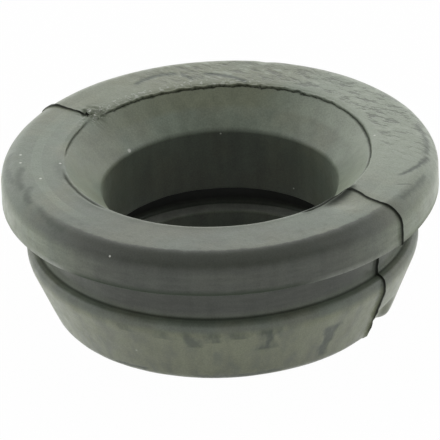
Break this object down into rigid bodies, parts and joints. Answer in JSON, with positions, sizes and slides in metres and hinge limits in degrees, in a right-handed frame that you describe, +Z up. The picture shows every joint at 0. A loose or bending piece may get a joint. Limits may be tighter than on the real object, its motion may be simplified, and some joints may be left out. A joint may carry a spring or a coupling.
{
  "type": "rubber grommet",
  "caption": "Flanged black rubber grommet with a panel slot, tapered skirt, countersunk mouth and an undercut bore that grips a stem.",
  "frame": {"origin": "centre of the base, on the grommet's axis", "axes": "+Z up along the axis, out of the countersunk mouth; the mould's parting plane is the XZ plane"},
  "size_m": [0.0324, 0.032, 0.0122],
  "materials": {
    "rubber": "matt moulded rubber with a faint sheen"
  },
  "bodies": {
    "root": {"grommet": "rubber"}
  },
  "joints": []
}
